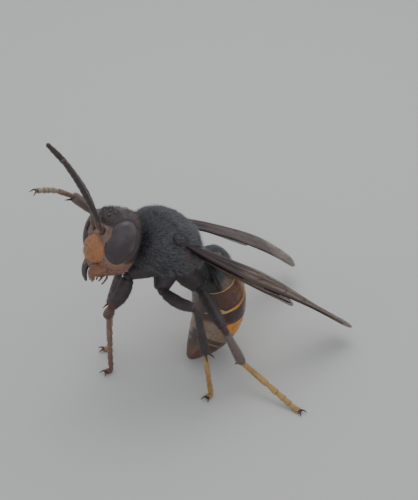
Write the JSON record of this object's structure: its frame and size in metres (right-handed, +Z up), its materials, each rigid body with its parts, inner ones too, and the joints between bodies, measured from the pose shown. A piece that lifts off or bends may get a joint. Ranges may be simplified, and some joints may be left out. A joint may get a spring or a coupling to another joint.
{
  "type": "asian hornet",
  "caption": "Life-size Asian hornet worker standing head-up on its feet, one foreleg raised, gaster curled under and wings folded along the back.",
  "frame": {"origin": "on the floor under the middle of the model's bounds", "axes": "+Z up, -Y the way the hornet faces, +X its left side"},
  "size_m": [0.0202, 0.0248, 0.022],
  "materials": {
    "head_brown": "dark brown shell, orange on the face",
    "eye_dark": "glossy dark brown facets",
    "mandible_brown": "semi-gloss orange-brown with black teeth",
    "antenna_brown": "satin dark brown",
    "thorax_black": "velvety black-brown with short fur",
    "tegula_brown": "semi-gloss dark brown",
    "gaster_brown": "satin dark brown with thin yellow hind lines",
    "gaster_orange": "satin orange-yellow",
    "leg_brown": "satin dark brown with short hairs",
    "tarsus_yellow": "satin yellow with a fine pile",
    "wing_smoky": "smoky brown membrane with raised veins"
  },
  "bodies": {
    "root": {"head": "head_brown", "eye_left": "eye_dark", "mandible_left": "mandible_brown", "scape_left": "antenna_brown", "flagellum_left": "antenna_brown", "tegula_left": "tegula_brown", "eye_right": "eye_dark", "mandible_right": "mandible_brown", "scape_right": "antenna_brown", "flagellum_right": "antenna_brown", "tegula_right": "tegula_brown", "pronotum": "thorax_black", "mesothorax": "thorax_black", "propodeum": "thorax_black", "gaster_1": "gaster_brown", "gaster_2": "gaster_brown", "gaster_3": "gaster_brown", "gaster_4": "gaster_orange", "gaster_5": "gaster_orange", "gaster_6": "gaster_brown", "coxa_fore_left": "leg_brown", "femur_fore_left": "leg_brown", "tibia_fore_left": "leg_brown", "tarsus_fore_left": "tarsus_yellow", "coxa_fore_right": "leg_brown", "femur_fore_right": "leg_brown", "tibia_fore_right": "leg_brown", "tarsus_fore_right": "tarsus_yellow", "coxa_mid_left": "leg_brown", "femur_mid_left": "leg_brown", "tibia_mid_left": "leg_brown", "tarsus_mid_left": "tarsus_yellow", "coxa_mid_right": "leg_brown", "femur_mid_right": "leg_brown", "tibia_mid_right": "leg_brown", "tarsus_mid_right": "tarsus_yellow", "coxa_hind_left": "leg_brown", "femur_hind_left": "leg_brown", "tibia_hind_left": "leg_brown", "tarsus_hind_left": "tarsus_yellow", "coxa_hind_right": "leg_brown", "femur_hind_right": "leg_brown", "tibia_hind_right": "leg_brown", "tarsus_hind_right": "tarsus_yellow", "forewing_left": "wing_smoky", "forewing_right": "wing_smoky", "hindwing_left": "wing_smoky", "hindwing_right": "wing_smoky"}
  },
  "joints": []
}
